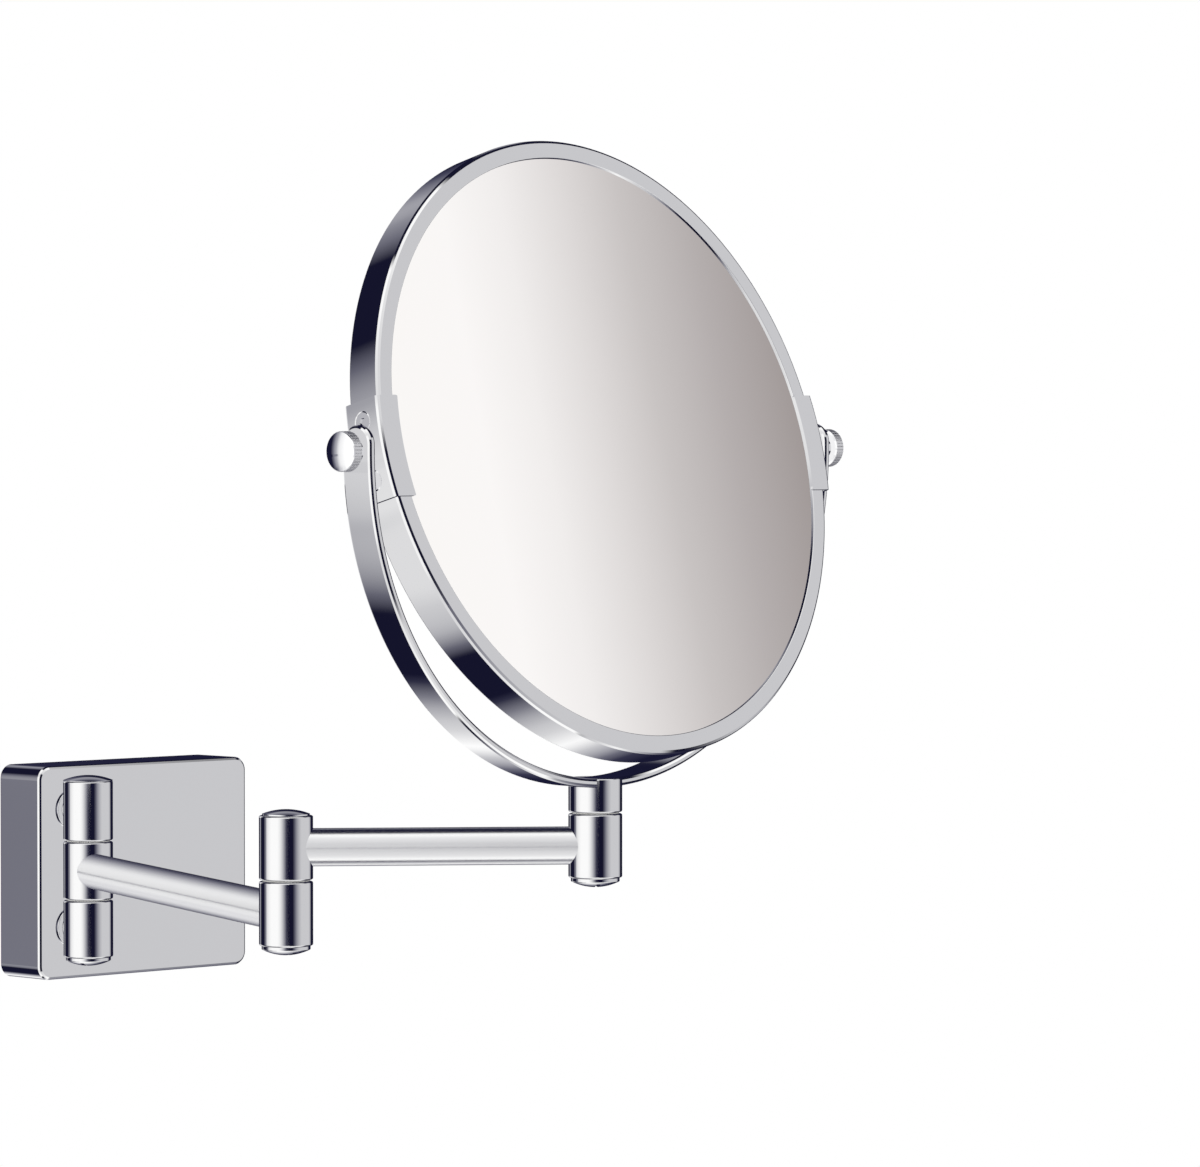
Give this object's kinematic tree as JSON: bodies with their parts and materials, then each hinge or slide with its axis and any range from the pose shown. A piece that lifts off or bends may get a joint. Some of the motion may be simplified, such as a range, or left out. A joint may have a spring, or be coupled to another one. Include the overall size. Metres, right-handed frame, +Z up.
{
  "type": "extendable shaving mirror",
  "caption": "Wall-mounted round shaving mirror, plain on one side and magnifying on the other, tilting in a yoke on a jointed swing arm.",
  "frame": {"origin": "centre of the wall plate's back, on the wall", "axes": "+X right along the wall as seen from the front, +Y into the wall, +Z up; the object reaches out towards -Y"},
  "size_m": [0.2269, 0.3075, 0.281],
  "materials": {
    "chrome": "polished",
    "screw_steel": "satin",
    "nylon": "matte",
    "mirror_glass": "silvered glass",
    "spacer_plastic": "matte"
  },
  "bodies": {
    "wall": {"wall_cover": "chrome", "backplate": "screw_steel", "cover_grub_screw": "screw_steel", "bracket_knuckle_upper": "chrome", "bracket_knuckle_lower": "chrome", "bracket_screw_upper": "screw_steel", "bracket_screw_lower": "screw_steel", "bracket_pivot_screw": "chrome", "bracket_top_cap": "chrome", "bracket_washer_upper": "nylon", "bracket_washer_lower": "nylon"},
    "arm_1": {"arm_1_root_knuckle": "chrome", "arm_1_tube": "chrome", "elbow_knuckle_lower": "chrome", "elbow_pivot_screw": "chrome", "elbow_top_cap": "chrome", "elbow_washer": "nylon"},
    "arm_2": {"elbow_knuckle_upper": "chrome", "arm_2_tube": "chrome", "end_knuckle": "chrome", "end_washer": "nylon"},
    "yoke": {"yoke": "chrome", "yoke_holder": "chrome", "end_pivot_screw": "chrome"},
    "mirror": {"mirror_rim": "chrome", "mirror_back_bezel": "chrome", "plain_glass": "mirror_glass", "magnifying_glass": "mirror_glass", "glass_spacer": "spacer_plastic", "clip_left": "chrome", "clip_right": "chrome", "clip_screw_left_upper": "screw_steel", "clip_screw_left_lower": "screw_steel", "clip_screw_right_upper": "screw_steel", "clip_screw_right_lower": "screw_steel", "pivot_boss_left": "chrome", "pivot_boss_right": "chrome", "pivot_washer_left": "nylon", "pivot_washer_right": "nylon"},
    "knob_left": {"knob_left": "chrome", "knob_stud_left": "screw_steel"},
    "knob_right": {"knob_right": "chrome", "knob_stud_right": "screw_steel"}
  },
  "joints": [
    {"name": "arm_1_swing", "type": "hinge", "parent": "wall", "child": "arm_1", "pos_m": [-0.0332, -0.0305, 0.0012], "axis": [0, 0, 1], "range_deg": [-68, 111]},
    {"name": "arm_2_swing", "type": "hinge", "parent": "arm_1", "child": "arm_2", "pos_m": [-0.10515, -0.2141, 0.0219], "axis": [0, 0, 1], "continuous": true},
    {"name": "yoke_swivel", "type": "hinge", "parent": "arm_2", "child": "yoke", "pos_m": [-0.02927, -0.27533, 0.0219], "axis": [0, 0, 1], "continuous": true},
    {"name": "mirror_tilt", "type": "hinge", "parent": "yoke", "child": "mirror", "pos_m": [-0.02927, -0.27533, 0.1466], "axis": [0.999, 0.0454, 0], "continuous": true},
    {"name": "knob_left_turn", "type": "hinge", "parent": "yoke", "child": "knob_left", "pos_m": [-0.13517, -0.28014, 0.1466], "axis": [0.999, 0.0454, 0], "continuous": true},
    {"name": "knob_right_turn", "type": "hinge", "parent": "yoke", "child": "knob_right", "pos_m": [0.07662, -0.27052, 0.1466], "axis": [0.999, 0.0454, 0], "continuous": true}
  ]
}
